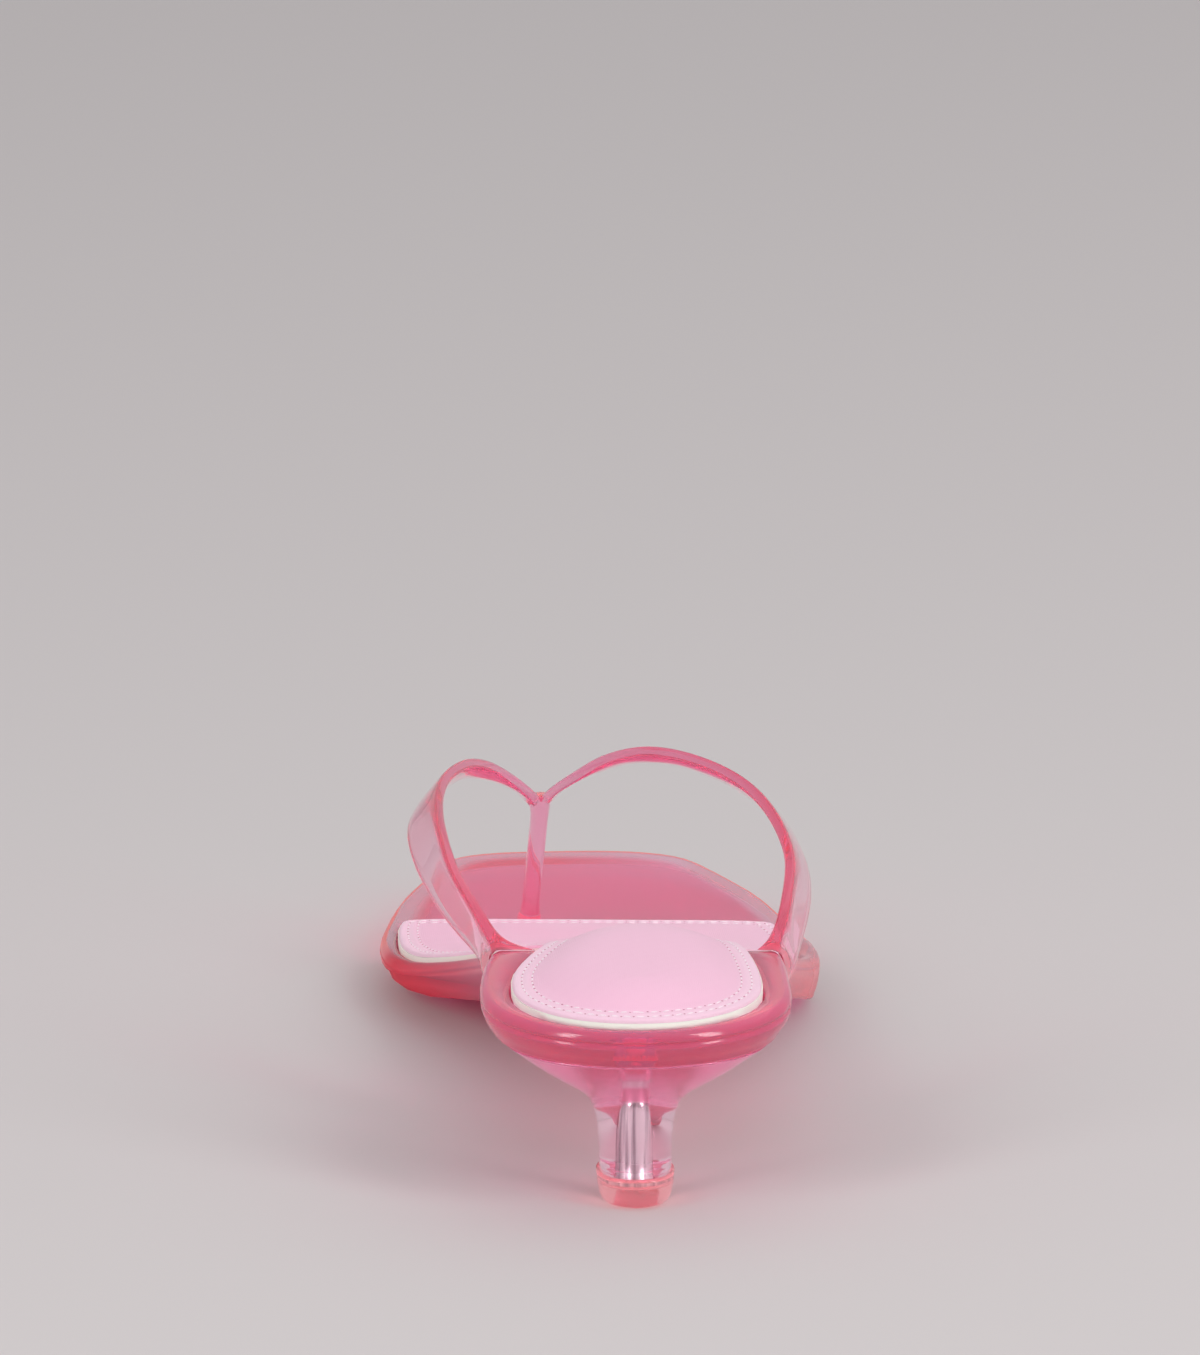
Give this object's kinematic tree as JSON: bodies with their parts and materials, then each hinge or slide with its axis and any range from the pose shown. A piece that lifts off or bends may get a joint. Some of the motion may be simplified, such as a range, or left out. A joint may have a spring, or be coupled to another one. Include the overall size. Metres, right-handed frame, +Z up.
{
  "type": "jelly kitten heel sandal",
  "caption": "Translucent pink thong sandal on a low flared heel with a steel dowel, with slim straps that meet at a toe post, a padded insole and a squared toe.",
  "frame": {"origin": "on the floor under the middle of the shoe's box", "axes": "+Y from the heel to the toe, +X to the outer side of the right foot, +Z up"},
  "size_m": [0.0934, 0.249, 0.061],
  "materials": {
    "jelly_sole": "clear glossy pink jelly",
    "clear_heel": "clear glossy pale pink",
    "pin_steel": "bright turned steel",
    "plug_red": "glossy red",
    "tip_salmon": "satin salmon",
    "foam_cream": "matt fine-celled foam",
    "insole_pink": "soft matt pink, stitched twice round its border",
    "jelly_strap": "clear glossy pink jelly"
  },
  "bodies": {
    "root": {"sole": "jelly_sole", "heel": "clear_heel", "heel_pin": "pin_steel", "heel_plug": "plug_red", "heel_tip": "tip_salmon", "insole_foam": "foam_cream", "insole_cover": "insole_pink", "upper": "jelly_strap"}
  },
  "joints": []
}
